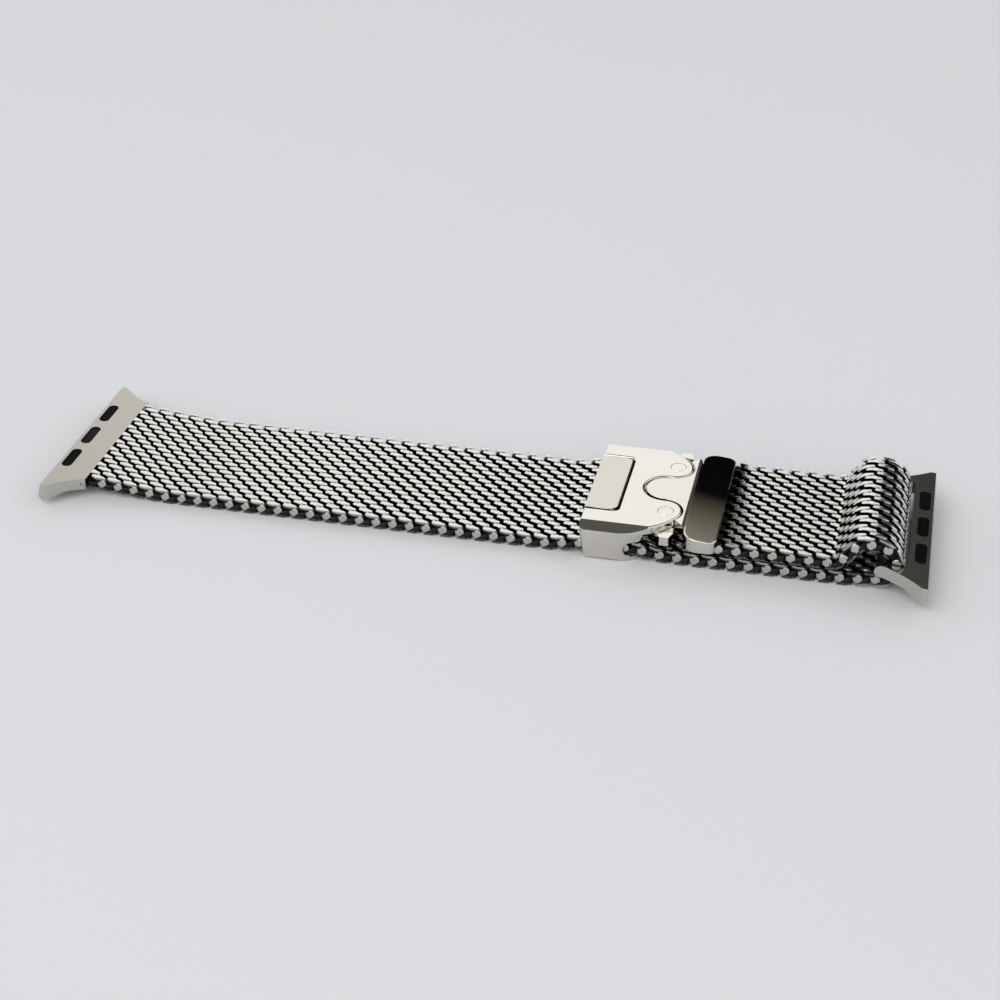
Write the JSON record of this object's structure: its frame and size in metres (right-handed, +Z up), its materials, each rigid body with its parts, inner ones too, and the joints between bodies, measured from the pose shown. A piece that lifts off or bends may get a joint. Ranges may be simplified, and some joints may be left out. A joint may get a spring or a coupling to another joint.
{
  "type": "watch band",
  "caption": "Milanese mesh watch band laid flat, with slide-in end lugs, a folded end looped through a slotted lug, and a box clasp with release levers and a clamp flap.",
  "frame": {"origin": "centre of the clasp's flat underside, which lies on the table", "axes": "+X along the band towards the slotted lug, +Y to the band's rear edge, +Z up, away from the wrist's outer side"},
  "size_m": [0.1168, 0.0274, 0.0073],
  "materials": {
    "mesh_steel": "polished",
    "clasp_steel": "polished",
    "tongue_steel": "mirror polished",
    "lug_steel": "satin",
    "spring_steel": "plain",
    "latch_black": "black",
    "pad_rubber": "matt"
  },
  "bodies": {
    "clasp": {"clasp_base": "clasp_steel", "clasp_top_plate": "clasp_steel", "lever_rivets": "clasp_steel", "clamp_pin": "clasp_steel", "mesh_clasp_section": "mesh_steel", "mesh_fold": "mesh_steel", "rear_lever_spring": "spring_steel", "front_lever_spring": "spring_steel"},
    "rear_lever": {"rear_lever": "clasp_steel"},
    "front_lever": {"front_lever": "clasp_steel"},
    "clamp_flap": {"clamp_flap": "clasp_steel"},
    "strap_end": {"buckle_tongue": "tongue_steel", "tail_pin": "tongue_steel", "mesh_tail": "mesh_steel"},
    "band_section_1": {"mesh_section_1": "mesh_steel"},
    "band_section_2": {"mesh_section_2": "mesh_steel"},
    "band_section_3": {"mesh_section_3": "mesh_steel"},
    "left_lug_end": {"mesh_lug_section": "mesh_steel", "left_lug": "lug_steel", "left_lug_pin": "lug_steel", "left_lug_pads": "pad_rubber", "left_lug_latch_spring": "spring_steel"},
    "left_latch": {"left_lug_latch": "latch_black"},
    "right_lug": {"right_lug": "lug_steel", "right_lug_pads": "pad_rubber", "right_lug_latch_spring": "spring_steel"},
    "right_latch": {"right_lug_latch": "latch_black"}
  },
  "joints": [
    {"name": "strap_end_release", "type": "slide", "parent": "clasp", "child": "strap_end", "axis": [1, 0, 0], "range_m": [0, 0.0022], "deforming": ["mesh_fold"]},
    {"name": "rear_lever_turn", "type": "hinge", "parent": "clasp", "child": "rear_lever", "pos_m": [0.00665, 0.0055, 0.0034], "axis": [0, 0, 1], "range_deg": [-16, 0], "stiffness_Nm_per_rad": 0.0004, "deforming": ["rear_lever_spring"]},
    {"name": "front_lever_turn", "type": "hinge", "parent": "clasp", "child": "front_lever", "pos_m": [0.00665, -0.0055, 0.0034], "axis": [0, 0, 1], "range_deg": [0, 16], "stiffness_Nm_per_rad": 0.0004, "deforming": ["front_lever_spring"]},
    {"name": "clamp_flap_turn", "type": "hinge", "parent": "clasp", "child": "clamp_flap", "pos_m": [0.00005, 0, 0.00445], "axis": [0, 1, 0], "range_deg": [0, 80]},
    {"name": "right_lug_swing", "type": "hinge", "parent": "clasp", "child": "right_lug", "pos_m": [0.03415, 0, 0.0032], "axis": [0, 1, 0], "range_deg": [-25, 12], "deforming": ["mesh_fold"]},
    {"name": "right_latch_press", "type": "slide", "parent": "right_lug", "child": "right_latch", "axis": [-0.1045, 0, -0.9945], "range_m": [0, 0.00045], "stiffness_N_per_m": 150, "deforming": ["right_lug_latch_spring"]},
    {"name": "left_latch_press", "type": "slide", "parent": "left_lug_end", "child": "left_latch", "axis": [-0.0698, 0, -0.9976], "range_m": [0, 0.00045], "stiffness_N_per_m": 150, "deforming": ["left_lug_latch_spring"]},
    {"name": "mesh_flex_1", "type": "hinge", "parent": "clasp", "child": "band_section_1", "pos_m": [-0.01415, 0, 0.00095], "axis": [0, 1, 0], "range_deg": [-22, 22]},
    {"name": "mesh_flex_2", "type": "hinge", "parent": "band_section_1", "child": "band_section_2", "pos_m": [-0.02815, 0, 0.00095], "axis": [0, 1, 0], "range_deg": [-22, 22]},
    {"name": "mesh_flex_3", "type": "hinge", "parent": "band_section_2", "child": "band_section_3", "pos_m": [-0.04215, 0, 0.00095], "axis": [0, 1, 0], "range_deg": [-22, 22]},
    {"name": "mesh_flex_4", "type": "hinge", "parent": "band_section_3", "child": "left_lug_end", "pos_m": [-0.05615, 0, 0.00095], "axis": [0, 1, 0], "range_deg": [-22, 22]}
  ],
  "couplings": [
    {"joint": "rear_lever_turn", "follows": "strap_end_release", "rad_per_m": -126.9},
    {"joint": "front_lever_turn", "follows": "strap_end_release", "rad_per_m": 126.9}
  ]
}
